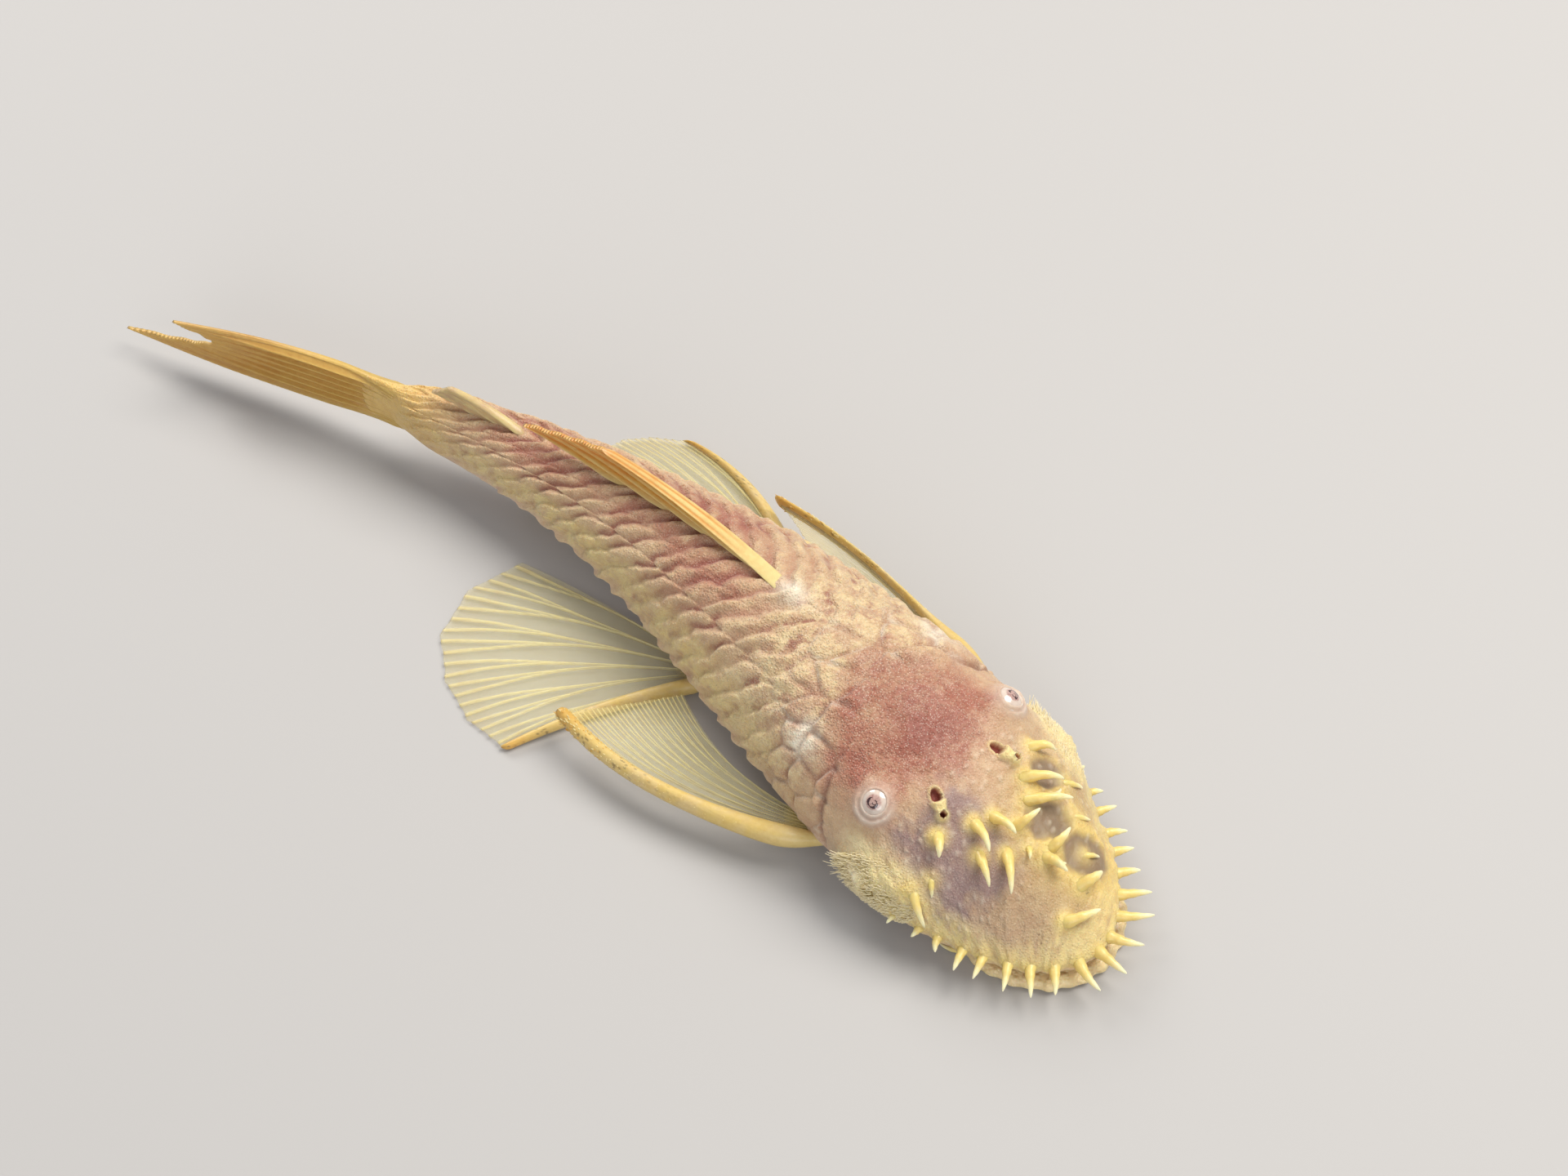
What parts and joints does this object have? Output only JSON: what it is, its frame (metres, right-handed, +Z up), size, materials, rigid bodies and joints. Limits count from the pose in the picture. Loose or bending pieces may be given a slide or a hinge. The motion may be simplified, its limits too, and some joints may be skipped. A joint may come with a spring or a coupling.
{
  "type": "bristlenose pleco model",
  "caption": "Life-size still model of an albino bristlenose catfish resting on its belly, body bent, with plated back, folded fins and branched snout tentacles.",
  "frame": {"origin": "middle of the bounding box in plan, on the floor that the fish rests on", "axes": "+X towards the snout, +Y to the fish's left, +Z up"},
  "size_m": [0.1234, 0.039, 0.0158],
  "materials": {
    "skin": "moist plated skin",
    "head_skin": "moist soft skin",
    "lips": "moist flesh",
    "fin": "satin horn-like rays and membrane",
    "eye": "wet gloss"
  },
  "bodies": {
    "root": {"head": "head_skin", "trunk": "skin", "tail_stalk": "skin", "mouth_disc": "lips", "dorsal_fin": "fin", "adipose_fin": "fin", "anal_fin": "fin", "caudal_fin": "fin", "pectoral_fin_left": "fin", "pectoral_fin_right": "fin", "pelvic_fin_left": "fin", "pelvic_fin_right": "fin", "eye_left": "eye", "eye_right": "eye"}
  },
  "joints": []
}
